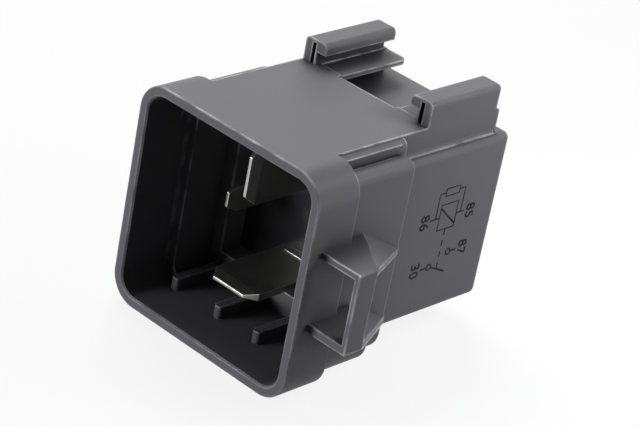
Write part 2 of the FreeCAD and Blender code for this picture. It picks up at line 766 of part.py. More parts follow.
def armature_closed():
    half = ARMATURE_WIDTH / 2
    face = pole_depth() + ARMATURE_SEAT_GAP
    plate = block(-half, half, face, face + ARMATURE_THICKNESS, ARMATURE_BOTTOM,
                  YOKE_TOP - ARMATURE_TOP_DROP)
    return plate.cut(armature_rivet_closed())


def armature_rivet_z():
    return COIL_Z + POLE_R + RIVET_HEAD_R + RIVET_R


def armature_rivet_closed():
    """Two rivets that hold the spring on the armature."""
    face = pole_depth() + ARMATURE_SEAT_GAP
    rear = face + ARMATURE_THICKNESS + SPRING_THICKNESS
    rivets = []
    for side in (-1, 1):
        x = side * RIVET_SPREAD
        shank = along_y(x, face + ARMATURE_THICKNESS / 2, rear, armature_rivet_z(), RIVET_R)
        head = along_y(x, rear, rear + RIVET_HEAD_HEIGHT, armature_rivet_z(), RIVET_HEAD_R)
        rivets.append(fuse_all([shank, head]))
    return Part.makeCompound(rivets)


def moving_contact_closed():
    spring_front, button_front = contact_depths()[:2]
    rear = spring_front + SPRING_THICKNESS
    button = along_y(0, button_front, spring_front, CONTACT_Z, CONTACT_R)
    shank = along_y(0, spring_front, rear, CONTACT_Z, RIVET_R)
    rim = along_y(0, rear, rear + CONTACT_RIM, CONTACT_Z, RIVET_HEAD_R)
    button = button.makeChamfer(CONTACT_RIM, edges_at(button, "Y", y_at(button_front)))
    return fuse_all([button, shank, rim])


def spring_blade_closed():
    """Hanging part of the leaf, behind the armature."""
    half = SPRING_WIDTH / 2
    spring_front = contact_depths()[0]
    top = YOKE_TOP - SPRING_BEND_R
    leaf = block(-half, half, spring_front, spring_front + SPRING_THICKNESS, SPRING_BOTTOM, top)
    leaf = leaf.cut(armature_rivet_closed())
    return leaf.cut(moving_contact_closed())


def contact_spring():
    """Leaf riveted on the yoke, bent over its end and down the armature."""
    half = SPRING_WIDTH / 2
    hang = swing_open(spring_blade_closed())
    hinge = hinge_point()
    angle = math.radians(ARMATURE_OPEN_DEG)
    down = contact_depths()[0]
    top = YOKE_TOP - SPRING_BEND_R - hinge.z
    reach = y_at(down) - hinge.y
    inner = VEC(0, hinge.y + reach * math.cos(angle) - top * math.sin(angle),
                hinge.z + reach * math.sin(angle) + top * math.cos(angle))
    outward = VEC(0, math.cos(angle), math.sin(angle)) * SPRING_THICKNESS
    outer = inner + outward
    bend_start = y_at(down) - SPRING_BEND_R
    low = VEC(0, bend_start, YOKE_TOP)
    high = VEC(0, bend_start, YOKE_TOP + SPRING_THICKNESS)
    inner_mid = VEC(0, bend_start + (inner.y - bend_start) * 0.7071,
                    inner.z + (YOKE_TOP - inner.z) * 0.7071)
    outer_mid = VEC(0, bend_start + (outer.y - bend_start) * 0.7071,
                    outer.z + (high.z - outer.z) * 0.7071)
    wire = Part.Wire([
        Part.Arc(low, inner_mid, inner).toShape(),
        Part.makeLine(inner, outer),
        Part.Arc(outer, outer_mid, high).toShape(),
        Part.makeLine(high, low),
    ])
    bend = Part.Face(wire).extrude(VEC(SPRING_WIDTH, 0, 0))
    bend.translate(VEC(-half, 0, 0))
    start = pole_depth() - SPRING_YOKE_LENGTH
    flat = Part.makeBox(SPRING_WIDTH, bend_start - y_at(start), SPRING_THICKNESS,
                        VEC(-half, y_at(start), YOKE_TOP))
    leaf = fuse_all([hang, bend, flat])
    for shank in rivet_shanks():
        leaf = leaf.cut(shank)
    return leaf


def yoke_rivet_places():
    depth = pole_depth() - SPRING_YOKE_LENGTH + RIVET_HEAD_R * 1.5
    return [(-RIVET_SPREAD, depth), (RIVET_SPREAD, depth)]


def rivet_shanks():
    shanks = []
    for x, depth in yoke_rivet_places():
        bottom = YOKE_TOP - YOKE_THICKNESS / 2
        height = YOKE_THICKNESS / 2 + SPRING_THICKNESS
        shanks.append(Part.makeCylinder(RIVET_R, height, VEC(x, y_at(depth), bottom)))
    return shanks


def spring_rivets():
    """Two rivets that hold the leaf on the yoke."""
    rivets = []
    for shank, place in zip(rivet_shanks(), yoke_rivet_places()):
        head = Part.makeCylinder(RIVET_HEAD_R, RIVET_HEAD_HEIGHT,
                                 VEC(place[0], y_at(place[1]), YOKE_TOP + SPRING_THICKNESS))
        rivets.append(fuse_all([shank, head]))
    return Part.makeCompound(rivets)


def fixed_contact():
    fixed_front, carrier_rear = contact_depths()[2:]
    button = along_y(0, carrier_rear, fixed_front, CONTACT_Z, CONTACT_R)
    return button.makeChamfer(CONTACT_RIM, edges_at(button, "Y", y_at(fixed_front)))


def rest_stop():
    """Strip from the base that the open armature rests on."""
    half = STOP_THICKNESS / 2
    level = LOWER_BLADE_Z
    armature = swing_open(armature_closed())
    band = block(STOP_INNER_X, STOP_INNER_X + STOP_WIDTH, 0, TOTAL_DEPTH, level, STOP_TOP)
    rest = armature.common(band).BoundBox.YMax + STOP_REST_GAP
    front = Part.makeBox(STOP_WIDTH, STOP_THICKNESS, STOP_TOP - level + half,
                         VEC(STOP_INNER_X, rest, level - half))
    strip = Part.makeBox(STOP_WIDTH, rest - y_at(STOP_ROOT_DEPTH) + half, STOP_THICKNESS,
                         VEC(STOP_INNER_X, y_at(STOP_ROOT_DEPTH), level - half))
    return fuse_all([front, strip])


# Resistor


def resistor_rear():
    return RESISTOR_FRONT_DEPTH + RESISTOR_LENGTH


def suppression_resistor():
    front = RESISTOR_FRONT_DEPTH
    rear = resistor_rear()
    middle = along_y(RESISTOR_X, front, rear, RESISTOR_Z, RESISTOR_R)
    near = along_y(RESISTOR_X, front, front + RESISTOR_CAP_LENGTH, RESISTOR_Z, RESISTOR_CAP_R)
    far = along_y(RESISTOR_X, rear - RESISTOR_CAP_LENGTH, rear, RESISTOR_Z, RESISTOR_CAP_R)
    return fuse_all([middle, near, far])


def resistor_leads():
    """Two wires: one to the near coil blade, one under the coil to the far blade."""
    z = COIL_BLADE_Z - COIL_TAIL_WIDTH / 4
    tail = COIL_TAIL_END_DEPTH - RESISTOR_LEAD_R * 3
    reach = COIL_BLADE_X + BLADE_THICKNESS / 2 + RESISTOR_LEAD_R
    near_points = [
        VEC(RESISTOR_X, y_at(RESISTOR_FRONT_DEPTH), RESISTOR_Z),
        VEC(RESISTOR_X, y_at(tail), RESISTOR_Z),
        VEC(-reach, y_at(tail), z - COIL_TAIL_WIDTH / 4),
        VEC(-reach, y_at(tail), z + COIL_TAIL_WIDTH / 4),
    ]
    behind = resistor_rear() + RESISTOR_LEAD_R * 3
    far_points = [
        VEC(RESISTOR_X, y_at(resistor_rear()), RESISTOR_Z),
        VEC(RESISTOR_X, y_at(behind), RESISTOR_Z),
        VEC(RESISTOR_X, y_at(behind), LEAD_CROSS_Z),
        VEC(RESISTOR_X, y_at(LEAD_CROSS_DEPTH), LEAD_CROSS_Z),
        VEC(LEAD_RETURN_X, y_at(LEAD_CROSS_DEPTH), LEAD_CROSS_Z),
        VEC(LEAD_RETURN_X, y_at(tail), LEAD_CROSS_Z),
        VEC(reach, y_at(tail), z - COIL_TAIL_WIDTH / 4),
        VEC(reach, y_at(tail), z + COIL_TAIL_WIDTH / 4),
    ]
    wires = [bent_wire(near_points, RESISTOR_LEAD_R), bent_wire(far_points, RESISTOR_LEAD_R)]
    return Part.makeCompound(wires)


def export(name, shape):
    shape.exportStep("parts/" + name + ".step")


def main():
    os.makedirs("parts", exist_ok=True)
    upper = terminal_30()
    lower = terminal_87()
    left = coil_terminal(-1)
    right = coil_terminal(1)
    stop = rest_stop()
    through = [upper, lower, left, right]
    nodes = {
        "housing": housing(),
        "base_plate": base_plate(through + [stop]),
        "sealing_compound": sealing_compound(through),
        "terminal_30": upper,
        "terminal_87": lower,
        "terminal_86": left,
        "terminal_85": right,
        "yoke": yoke(),
        "core": core(),
        "bobbin": bobbin(),
        "coil_winding": coil_winding(),
        "coil_lead_wires": coil_lead_wires(),
        "contact_spring": contact_spring(),
        "spring_rivets": spring_rivets(),
        "fixed_contact": fixed_contact(),
        "rest_stop": stop,
        "suppression_resistor": suppression_resistor(),
        "resistor_leads": resistor_leads(),
        "armature": swing_open(armature_closed()),
        "armature_rivets": swing_open(armature_rivet_closed()),
        "moving_contact": swing_open(moving_contact_closed()),
    }
    for name, shape in nodes.items():
        export(name, shape)


main()
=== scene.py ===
# %% [markdown]
# # A plug-in automotive relay
#
# The relay is a moulded plastic can with a square open mouth at the front,
# where the flat blades of the plug stand. On top of the can are two rails
# for a bracket, and on its side is a strap that the plug's catch holds.
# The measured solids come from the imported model, so this lesson is about
# the finishes, the bending contact leaf, the wiring diagram, the light and
# the camera. X points to the side with the diagram, Y from the mouth to the
# closed back, and Z to the rails.

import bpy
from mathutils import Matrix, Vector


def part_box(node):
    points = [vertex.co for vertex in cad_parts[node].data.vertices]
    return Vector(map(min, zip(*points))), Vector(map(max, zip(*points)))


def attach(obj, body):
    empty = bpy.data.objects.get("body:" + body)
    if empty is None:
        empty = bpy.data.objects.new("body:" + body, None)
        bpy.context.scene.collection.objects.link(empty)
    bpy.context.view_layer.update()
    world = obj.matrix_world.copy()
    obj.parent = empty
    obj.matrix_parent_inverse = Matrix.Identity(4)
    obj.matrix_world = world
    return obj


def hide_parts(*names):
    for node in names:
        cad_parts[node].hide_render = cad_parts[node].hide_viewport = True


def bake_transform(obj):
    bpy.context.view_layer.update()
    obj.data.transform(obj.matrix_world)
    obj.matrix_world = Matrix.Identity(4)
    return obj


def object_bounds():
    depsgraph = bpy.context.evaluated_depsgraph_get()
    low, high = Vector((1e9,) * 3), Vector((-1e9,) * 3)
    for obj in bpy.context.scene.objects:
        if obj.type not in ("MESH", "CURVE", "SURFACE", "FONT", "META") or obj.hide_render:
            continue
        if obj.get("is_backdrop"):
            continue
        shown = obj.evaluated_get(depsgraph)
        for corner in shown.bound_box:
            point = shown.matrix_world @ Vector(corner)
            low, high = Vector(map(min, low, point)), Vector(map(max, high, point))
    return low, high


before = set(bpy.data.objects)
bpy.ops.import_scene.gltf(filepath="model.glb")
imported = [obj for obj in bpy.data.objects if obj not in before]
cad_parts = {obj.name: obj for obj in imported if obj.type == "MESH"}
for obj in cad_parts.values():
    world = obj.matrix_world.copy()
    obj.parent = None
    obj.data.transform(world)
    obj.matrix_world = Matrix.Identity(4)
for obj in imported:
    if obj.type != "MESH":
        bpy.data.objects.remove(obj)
cad_low, cad_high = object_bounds()
print("nodes:", len(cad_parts))

# %% [markdown]
# ## Tools
#
# Blender counts in metres and mixes colours as linear light. Here sizes are
# in millimetres and colours are hex codes as a screen shows them, so MM and
# linear() translate. The view is Standard, which shows a colour unchanged.

# %% Tools that every later cell uses
import math

import bpy
from mathutils import Matrix, Vector

MM = 0.001
WHITE = (1, 1, 1, 1)
scene = bpy.context.scene
scene.view_settings.view_transform = "Standard"


def select_only(piece=None):
    """Deselect everything, as an operator acts on all that is selected, then pick one piece."""
    bpy.ops.object.select_all(action="DESELECT")
    if piece is not None:
        piece.select_set(True)
        bpy.context.view_layer.objects.active = piece


def linear(code):
    """Turn a hex colour as a screen shows it into linear light."""
    parts = [int(code[i:i + 2], 16) / 255 for i in (1, 3, 5)]
    light = [c / 12.92 if c <= 0.04045 else ((c + 0.055) / 1.055) ** 2.4 for c in parts]
    return (*light, 1.0)


# %% [markdown]
# ## One function for every node
#
# A material is a tree of nodes. Adding a node by hand takes a line for each
# setting and each link, so one small function does all of it. The Mix node
# gives its sockets for numbers and for colours the same names, so they are
# called by their place, and the places get names here.

# %% Adding nodes
SHARE, NUMBER_A, NUMBER_B, COLOUR_A, COLOUR_B = 0, 2, 3, 6, 7
MIXED_NUMBER, MIXED_COLOUR = 0, 2


def add(tree, kind, sockets=None, links=None, **settings):
    """Add one node, give it its settings and values, and link its inputs."""
    made = tree.nodes.new("ShaderNode" + kind)
    for name, value in settings.items():
        setattr(made, name, value)
    for name, value in (sockets or {}).items():
        made.inputs[name].default_value = value
    for name, (source, output) in (links or {}).items():
        tree.links.new(source.outputs[output], made.inputs[name])
    return made


def new_material(name):
    """An empty material, ready for the finish's own nodes."""
    made = bpy.data.materials.new(name)
    made.use_nodes = True
    made.node_tree.nodes.clear()
    return made, made.node_tree


def finish_material(tree, shader):
    """Send the finished shader to the material's surface."""
    add(tree, "OutputMaterial", links={"Surface": (shader, "BSDF")})


def per_metre(millimetres):
    """A pattern's scale in object coordinates, from the real size of one mark."""
    return 1.0 / (millimetres * MM)


# %% [markdown]
# ## The camera
#
# The photograph was taken with a long lens from about a quarter of a metre,
# looking into the mouth from the right and from above. A long lens keeps the
# far end of the can nearly as large as the near end. The place and the turn
# of the camera are set as one matrix, because its three columns are easy to
# read: to the right, upwards, and back towards the viewer.

# %% The camera
CAMERA_PLACE = Vector((142.74, -161.08, 124.69)) * MM

select_only()
bpy.ops.object.camera_add()
camera = bpy.context.object
camera.name = "camera"
camera.data.sensor_width = 36.0
camera.data.lens = 139.25
camera.data.clip_start = 0.01
to_right = Vector((0.70240, 0.69037, 0.17328)).normalized()
to_back = Vector((0.56746, -0.69010, 0.44917)).normalized()
to_top = to_back.cross(to_right).normalized()
to_right = to_top.cross(to_back)
turn = Matrix((to_right, to_top, to_back)).transposed().to_4x4()
camera.matrix_world = Matrix.Translation(CAMERA_PLACE) @ turn
scene.camera = camera
print("camera:", round(CAMERA_PLACE.length / MM), "mm away, lens", round(camera.data.lens, 2), "mm")

# %% [markdown]
# ## Floor and background
#
# A catalogue picture has a white ground, but a white floor would throw much
# light back up at the part. So the paper has two faces. The camera, and
# whatever the part mirrors, see it glow white, with the relay's soft shadow
# on it. What dull surfaces get from it is the light of plain grey paper.

# %% Floor
FLOOR_SIZE = 4.0
FLOOR_GAP = 0.03

select_only()
bpy.ops.mesh.primitive_plane_add(size=FLOOR_SIZE, location=(0, 0, -FLOOR_GAP * MM))
floor = bpy.context.object
floor.name = "floor"
bpy.ops.object.mode_set(mode="EDIT")
bpy.ops.mesh.subdivide(number_cuts=3)
bpy.ops.object.mode_set(mode="OBJECT")
bpy.ops.object.transform_apply(location=True, rotation=True, scale=True)
floor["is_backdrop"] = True
print("floor:", FLOOR_SIZE, "m wide,", FLOOR_GAP, "mm under the relay")

# %% Paper that the camera sees as white
PAPER_GLOW = 0.86


def seen_directly(tree):
    """1 for rays that come from the camera, a mirror or clear glass, else 0."""
    rays = add(tree, "LightPath")
    first = add(tree, "Math", operation="MAXIMUM",
                links={0: (rays, "Is Camera Ray"), 1: (rays, "Is Glossy Ray")})
    return add(tree, "Math", operation="MAXIMUM",
               links={0: (first, 0), 1: (rays, "Is Transmission Ray")})


paper, tree = new_material("white_paper_sheet")
sheet = add(tree, "BsdfDiffuse", sockets={"Color": linear("#535355")})
thin = add(tree, "BsdfDiffuse", sockets={"Color": linear("#5e5e60")})
glow = add(tree, "Emission", sockets={"Color": WHITE, "Strength": PAPER_GLOW})
both = add(tree, "AddShader", links={0: (thin, "BSDF"), 1: (glow, "Emission")})
choice = add(tree, "MixShader",
             links={"Fac": (seen_directly(tree), 0), 1: (sheet, "BSDF"), 2: (both, "Shader")})
add(tree, "OutputMaterial", links={"Surface": (choice, "Shader")})
floor.data.materials.append(paper)
print("paper: glows at", PAPER_GLOW, "for the camera and in mirrored light")

# %% [markdown]
# The world is split in the same way: white where the camera or a mirrored
# ray looks past the floor, and nearly dark for dull surfaces, so that the
# lamps alone shape them.

# %% World
ROOM_LIGHT = 0.015

world = bpy.data.worlds.new("white_room")
world.use_nodes = True
scene.world = world
tree = world.node_tree
tree.nodes.clear()
room = add(tree, "Background", sockets={"Color": WHITE, "Strength": ROOM_LIGHT})
white = add(tree, "Background", sockets={"Color": WHITE, "Strength": 1.0})
choice = add(tree, "MixShader", links={
    "Fac": (seen_directly(tree), 0), 1: (room, "Background"), 2: (white, "Background")})
add(tree, "OutputWorld", links={"Surface": (choice, "Shader")})
print("room light on dull surfaces:", ROOM_LIGHT)

# %% [markdown]
# ## Light
#
# The photograph has one large soft light above the relay, to the left and
# slightly behind it, so the top is the brightest face and the inside of the
# mouth is nearly black. A low light from the left front shows the rim and
# the latch. Three weak cards do what white boards do in a studio: one
# brightens what faces the rear left, and two near the right rear show the
# side with the diagram and let it fade towards the mouth and the floor. Each
# strength started from a render with that lamp alone, set against the
# photograph.

# %% Lamps
LAMPS = {
    # name: place in mm, side of the square in mm, watts
    "lamp_above_left": ((-210, 110, 330), 260, 1.52),
    "lamp_left_front": ((-190, -360, 40), 160, 1.85),
    "card_rear_left": ((-300, 300, 120), 200, 0.10),
    "card_right_rear": ((84, 68, 22), 42, 0.031),
    "card_right_rear_high": ((55, 60, 75), 40, 0.048),
}
MIDDLE_OF_RELAY = Vector((0, 12, 12)) * MM

for name, (place, size, watts) in LAMPS.items():
    select_only()
    bpy.ops.object.light_add(type="AREA", location=Vector(place) * MM)
    lamp = bpy.context.object
    lamp.name = name
    lamp.data.shape = "SQUARE"
    lamp.data.size = size * MM
    lamp.data.energy = watts
    lamp.rotation_euler = (MIDDLE_OF_RELAY - lamp.location).to_track_quat("-Z", "Y").to_euler()
    print(name, watts, "W, size", size, "mm")

# %% [markdown]
# ## Finish 1: the housing
#
# The can is injection moulded from glass-filled polyester, coloured in the
# mass to a middle grey. The mould was spark eroded, which leaves a very fine
# satin grain, here a noise in the bump. The real grain is too fine for the
# picture to show, so it is drawn coarser than it is, at about 0.2 mm.
#
# Handling and the plug polish the outer edges, so they are smoother and catch
# a thin and broken line of light, and a painted highlight makes their colour
# paler as well. A rounded normal alone would give the small fillets no line,
# so the edge is found by how little material lies behind the surface: ambient
# occlusion that looks inwards.

# %% Polished edges
ROUND_SHARE = 0.4
RUB_PATCH_SIZE = 2.2


def polished_edges(tree, mapped, edge_radius):
    """The normal rounded over the edges, and a mask of the rubbed edges, which also places the
    painted highlight.
    """
    rounded = add(tree, "Bevel", samples=6, sockets={"Radius": ROUND_SHARE * edge_radius * MM})
    ridge = add(tree, "AmbientOcclusion", samples=8, inside=True, only_local=True,
                sockets={"Distance": edge_radius * MM})
    rubbed_edge_and_glint = add(tree, "MapRange", links={"Value": (ridge, "AO")},
                 sockets={"From Min": 0.92, "From Max": 0.80, "To Min": 0.0, "To Max": 1.0})
    patchy = add(tree, "TexNoise", links={"Vector": (mapped, "Vector")},
                 sockets={"Scale": per_metre(RUB_PATCH_SIZE), "Detail": 2.0})
    share = add(tree, "MapRange", links={"Value": (patchy, "Fac")},
                sockets={"From Min": 0.38, "From Max": 0.62, "To Min": 0.15, "To Max": 1.0})
    rubbed_and_highlight = add(tree, "Math", operation="MULTIPLY",
               links={0: (rubbed_edge_and_glint, "Result"), 1: (share, "Result")})
    return rounded, rubbed_and_highlight


# %% [markdown]
# The colour of a moulding clouds a little from place to place, as the melt
# cools unevenly. Shade is painted into the colour in nooks, where less light
# goes to and fro: the same occlusion node, looking outwards, finds the nooks.
# On the rubbed edges a painted highlight makes the colour a little paler.

# %% Colour of a moulding
PAINTED_SHADE_REACH = 4.5
CLOUD_SIZE = 9


def moulding_colour(tree, mapped, rubbed_and_highlight, colour, dark, edge, painted_highlight_gain):
    """Cloudy mass colour, with painted shade in nooks and a painted highlight on rubbed edges."""
    cloud = add(tree, "TexNoise", links={"Vector": (mapped, "Vector")},
                sockets={"Scale": per_metre(CLOUD_SIZE), "Detail": 3.0, "Roughness": 0.55})
    tone = add(tree, "Mix", data_type="RGBA", links={SHARE: (cloud, "Fac")},
               sockets={COLOUR_A: linear(dark), COLOUR_B: linear(colour)})
    corner = add(tree, "AmbientOcclusion", samples=8, only_local=True,
                 sockets={"Distance": PAINTED_SHADE_REACH * MM})
    # painted shade: the colour is darkened where the outward occlusion finds a nook
    painted_nook_shade = add(tree, "MapRange", links={"Value": (corner, "AO")},
               sockets={"From Min": 0.32, "From Max": 0.94, "To Min": 0.22, "To Max": 1.0})
    painted_shade_tone = add(tree, "Mix", data_type="RGBA", blend_type="MULTIPLY", sockets={SHARE: 1.0},
                 links={COLOUR_A: (tone, MIXED_COLOUR), COLOUR_B: (painted_nook_shade, "Result")})
    # painted highlight: the colour turns towards the edge colour on rubbed edges
    painted_highlight_share = add(tree, "Math", operation="MULTIPLY", links={0: (rubbed_and_highlight, 0)}, sockets={1: painted_highlight_gain})
    return add(tree, "Mix", data_type="RGBA", sockets={COLOUR_B: linear(edge)},
               links={SHARE: (painted_highlight_share, 0), COLOUR_A: (painted_shade_tone, MIXED_COLOUR)})


# %% [markdown]
# The shader brings colour, grain and gloss together. Moulded grain is satin,
# so its roughness is near one half, and the rubbed edges are far smoother.

# %% Moulded plastics
RUBBED_ROUGHNESS = 0.20
SATIN_SWING = 0.06


# edge is the colour of the painted highlight on rubbed edges
def moulded_plastic(name, colour, dark, edge, roughness, shine,
                    grain, grain_height, edge_radius, painted_highlight_gain):
    """Mass-coloured moulded plastic: spark-eroded grain, polished edges with a painted highlight,
    painted nook shade.
    """
    made, tree = new_material(name)
    place = add(tree, "TexCoord")
    mapped = add(tree, "Mapping", links={"Vector": (place, "Object")})
    rounded, rubbed_and_highlight = polished_edges(tree, mapped, edge_radius)
    colour_with_painted_light = moulding_colour(tree, mapped, rubbed_and_highlight, colour, dark, edge, painted_highlight_gain)
    fine = add(tree, "TexNoise", links={"Vector": (mapped, "Vector")},
               sockets={"Scale": per_metre(grain), "Detail": 2.0, "Roughness": 0.6})
    bump = add(tree, "Bump", sockets={"Strength": 0.6, "Distance": grain_height * MM},
               links={"Height": (fine, "Fac"), "Normal": (rounded, "Normal")})
    satin = add(tree, "MapRange", links={"Value": (fine, "Fac")},
                sockets={"To Min": roughness - SATIN_SWING, "To Max": roughness + SATIN_SWING})
    rough = add(tree, "Mix", data_type="FLOAT", sockets={NUMBER_B: RUBBED_ROUGHNESS},
                links={SHARE: (rubbed_and_highlight, 0), NUMBER_A: (satin, "Result")})
    gloss = add(tree, "MapRange", links={"Value": (rubbed_and_highlight, 0)},
                sockets={"To Min": shine, "To Max": 1.0})
    shader = add(tree, "BsdfPrincipled", sockets={"IOR": 1.5}, links={
        "Base Color": (colour_with_painted_light, MIXED_COLOUR), "Roughness": (rough, MIXED_NUMBER),
        "Specular IOR Level": (gloss, "Result"), "Normal": (bump, "Normal")})
    finish_material(tree, shader)
    print("moulding:", name, colour, "roughness", roughness)
    return made


# Grey polyester with a dry satin face, as it comes from an eroded mould
housing_plastic = moulded_plastic(
    "glass_filled_polyester_moulded", colour="#626166", dark="#5d5c61", edge="#c8c7cc",
    roughness=0.50, shine=0.16, grain=0.22, grain_height=0.012, edge_radius=0.22, painted_highlight_gain=0.42)
# The same plastic in black, so that the blades stand out
base_plastic = moulded_plastic(
    "base_polyester_moulded", colour="#2a2a2c", dark="#242426", edge="#4a4a4c",
    roughness=0.48, shine=0.3, grain=0.22, grain_height=0.012, edge_radius=0.10, painted_highlight_gain=0.4)
# Natural nylon, cream coloured and slightly waxy
bobbin_plastic = moulded_plastic(
    "bobbin_nylon_moulded", colour="#d8cfb8", dark="#cdc3aa", edge="#e6dfcc",
    roughness=0.42, shine=0.4, grain=0.18, grain_height=0.008, edge_radius=0.08, painted_highlight_gain=0.3)

# %% [markdown]
# ## Finish 2: the metals
#
# The blades are brass strip with bright tin plating. The strip is rolled, so
# it has fine lines along its length, and the tin is softer and cloudier than
# polished metal. The plug rubs the edges, and they carry a painted highlight:
# the colour turns paler where a normal rounded over them differs from the true
# one. The real lines are a few hundredths of a millimetre apart, too fine for
# the picture, so they are drawn at about 0.1 mm. A stretch below 1 along Y
# draws them out that way. The same recipe, with its own colours and its own
# size and direction of lines, serves the nickel-plated iron, the bronze
# spring, the steel rivets, the tinned wire and the silver.

# %% Rolled and plated metal
PLATING_CLOUD = 2.5


# edge is the colour of the painted highlight on rubbed edges
def plated_metal(name, colour, dull, edge, roughness, line, stretch, line_height, edge_radius):
    """Rolled and plated metal: stretched lines of the roll, cloudy plating, a painted highlight on
    rubbed edges.
    """
    made, tree = new_material(name)
    place = add(tree, "TexCoord")
    mapped = add(tree, "Mapping", links={"Vector": (place, "Object")}, sockets={"Scale": stretch})
    rolled = add(tree, "TexNoise", links={"Vector": (mapped, "Vector")},
                 sockets={"Scale": per_metre(line), "Detail": 3.0, "Roughness": 0.6})
    cloud = add(tree, "TexNoise", links={"Vector": (place, "Object")},
                sockets={"Scale": per_metre(PLATING_CLOUD), "Detail": 3.0, "Roughness": 0.6})
    tone = add(tree, "Mix", data_type="RGBA", links={SHARE: (cloud, "Fac")},
               sockets={COLOUR_A: linear(dull), COLOUR_B: linear(colour)})
    rounded = add(tree, "Bevel", samples=6, sockets={"Radius": edge_radius * MM})
    surface = add(tree, "NewGeometry")
    match = add(tree, "VectorMath", operation="DOT_PRODUCT",
                links={0: (rounded, "Normal"), 1: (surface, "Normal")})
    rubbed_edge_and_glint = add(tree, "MapRange", links={"Value": (match, "Value")},
                 sockets={"From Min": 0.998, "From Max": 0.92, "To Min": 0.0, "To Max": 1.0})
    # painted highlight: the edge colour is mixed in where the rounded normal leaves the true one
    colour_with_painted_light = add(tree, "Mix", data_type="RGBA", sockets={COLOUR_B: linear(edge)},
                links={SHARE: (rubbed_edge_and_glint, "Result"), COLOUR_A: (tone, MIXED_COLOUR)})
    bump = add(tree, "Bump", sockets={"Strength": 0.5, "Distance": line_height * MM},
               links={"Height": (rolled, "Fac"), "Normal": (rounded, "Normal")})
    rough = add(tree, "MapRange", links={"Value": (cloud, "Fac")},
                sockets={"To Min": roughness - 0.08, "To Max": roughness + 0.10})
    shader = add(tree, "BsdfPrincipled", sockets={"Metallic": 1.0}, links={
        "Base Color": (colour_with_painted_light, MIXED_COLOUR), "Roughness": (rough, "Result"),
        "Normal": (bump, "Normal")})
    finish_material(tree, shader)
    print("metal:", name, colour, "roughness", roughness)
    return made


# %% The six metals
# Grey tin with a soft shine, and a painted white highlight on the rubbed edges
tinned_brass = plated_metal(
    "bright_tin_on_brass_strip", colour="#a6a69f", dull="#92928b", edge="#e4e4de",
    roughness=0.34, line=0.12, stretch=(1.0, 0.06, 1.0), line_height=0.004, edge_radius=0.12)
# Warm grey nickel, brighter than tin
plated_iron = plated_metal(
    "nickel_plated_iron", colour="#b9b7b2", dull="#9d9b96", edge="#cfcdc8",
    roughness=0.30, line=0.10, stretch=(1.0, 0.1, 1.0), line_height=0.003, edge_radius=0.10)
# Bare bronze, reddish gold
spring_bronze = plated_metal(
    "rolled_bronze_strip", colour="#c49a6c", dull="#ab8258", edge="#d8b285",
    roughness=0.30, line=0.08, stretch=(1.0, 0.08, 1.0), line_height=0.003, edge_radius=0.04)
# Zinc on upset steel, bluish and even
rivet_steel = plated_metal(
    "zinc_plated_steel_rivet", colour="#bcbdc0", dull="#9fa0a4", edge="#d0d1d4",
    roughness=0.34, line=0.15, stretch=(1.0, 1.0, 1.0), line_height=0.003, edge_radius=0.06)
# Pressed silver alloy, the whitest and smoothest of them
silver_contact = plated_metal(
    "silver_alloy_contact", colour="#dedcd6", dull="#c3c1ba", edge="#e8e6e0",
    roughness=0.22, line=0.10, stretch=(1.0, 1.0, 1.0), line_height=0.002, edge_radius=0.05)
# Drawn copper wire under tin, with lines along the wire
tinned_wire = plated_metal(
    "tinned_copper_wire", colour="#c9c7c0", dull="#aeaca6", edge="#d6d4cd",
    roughness=0.32, line=0.10, stretch=(1.0, 0.2, 1.0), line_height=0.002, edge_radius=0.03)

# %% [markdown]
# ## Finish 3: winding, resin and resistor
#
# The coil is enamelled copper wire about 0.15 mm thick, laid turn by turn.
# Its turns are too fine to model, so a band pattern along the coil gives
# each one its round, as a bump and as painted shade and highlight in the
# colour, drawn coarser than it is, at 0.44 mm. At a scale of 1 the wave
# texture draws 20 waves over 2 pi units, which fixes its scale. The resin
# that seals the base is cast and glossy, and the resistor has a lacquered
# body.

# %% Enamelled copper winding
TURN_PITCH = 0.44
WAVES_AT_SCALE_1 = 20 / (2 * math.pi)

copper_wire, tree = new_material("enamelled_copper_winding")
place = add(tree, "TexCoord")
turns = add(tree, "TexWave", wave_type="BANDS", bands_direction="Y", wave_profile="SIN",
            links={"Vector": (place, "Object")},
            sockets={"Scale": per_metre(TURN_PITCH) / WAVES_AT_SCALE_1,
                     "Distortion": 0.6, "Detail": 1.0})
# painted shade and highlight: each band runs from dark to light copper across a turn
tone = add(tree, "Mix", data_type="RGBA", links={SHARE: (turns, "Fac")},
           sockets={COLOUR_A: linear("#6e2f14"), COLOUR_B: linear("#b9602c")})
bump = add(tree, "Bump", sockets={"Strength": 0.8, "Distance": 0.06 * MM},
           links={"Height": (turns, "Fac")})
shader = add(tree, "BsdfPrincipled", sockets={"Metallic": 0.7, "Roughness": 0.28},
             links={"Base Color": (tone, MIXED_COLOUR), "Normal": (bump, "Normal")})
finish_material(tree, shader)
print("winding: one band each", TURN_PITCH, "mm")

# %% [markdown]
# Resin and lacquer are both a smooth skin over two close colours. The resin
# swells a little where it crept up the walls, over a few millimetres. The
# lacquer shows fine specks.

